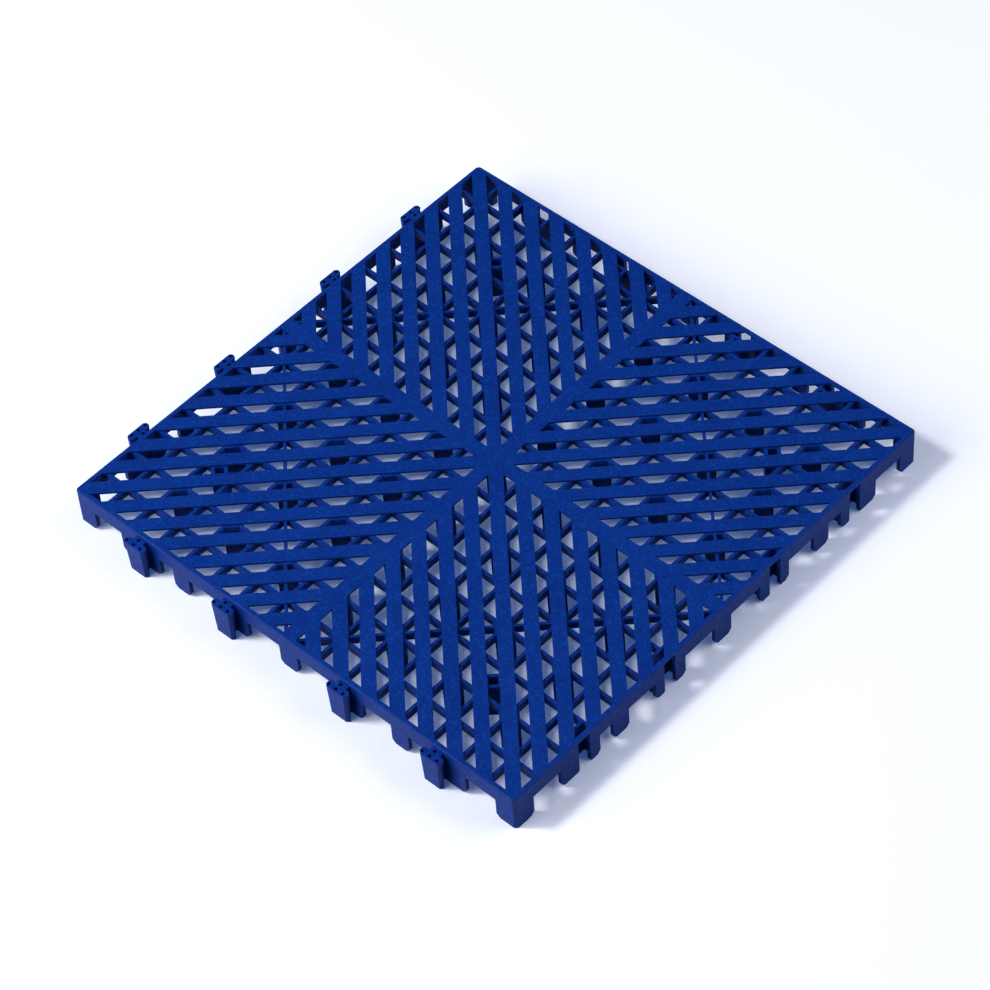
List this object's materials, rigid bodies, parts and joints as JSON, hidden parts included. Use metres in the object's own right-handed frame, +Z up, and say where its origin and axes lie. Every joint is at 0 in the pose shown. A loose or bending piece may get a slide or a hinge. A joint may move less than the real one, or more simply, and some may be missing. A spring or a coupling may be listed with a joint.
{
  "type": "interlocking drainage floor tile",
  "caption": "Square open-grid floor tile with slanted slats in four quadrants, hollow feet, side arches, T-shaped tabs on two edges and matching sockets on the other two.",
  "frame": {"origin": "centre of the bounding box at the floor the tile stands on", "axes": "+Z up out of the walking surface; the tabs point along -X and +Y, the sockets open towards +X and -Y"},
  "size_m": [0.409, 0.409, 0.03],
  "materials": {
    "tile": "fine pebbled moulded surface"
  },
  "bodies": {
    "root": {"floor_tile": "tile"}
  },
  "joints": []
}
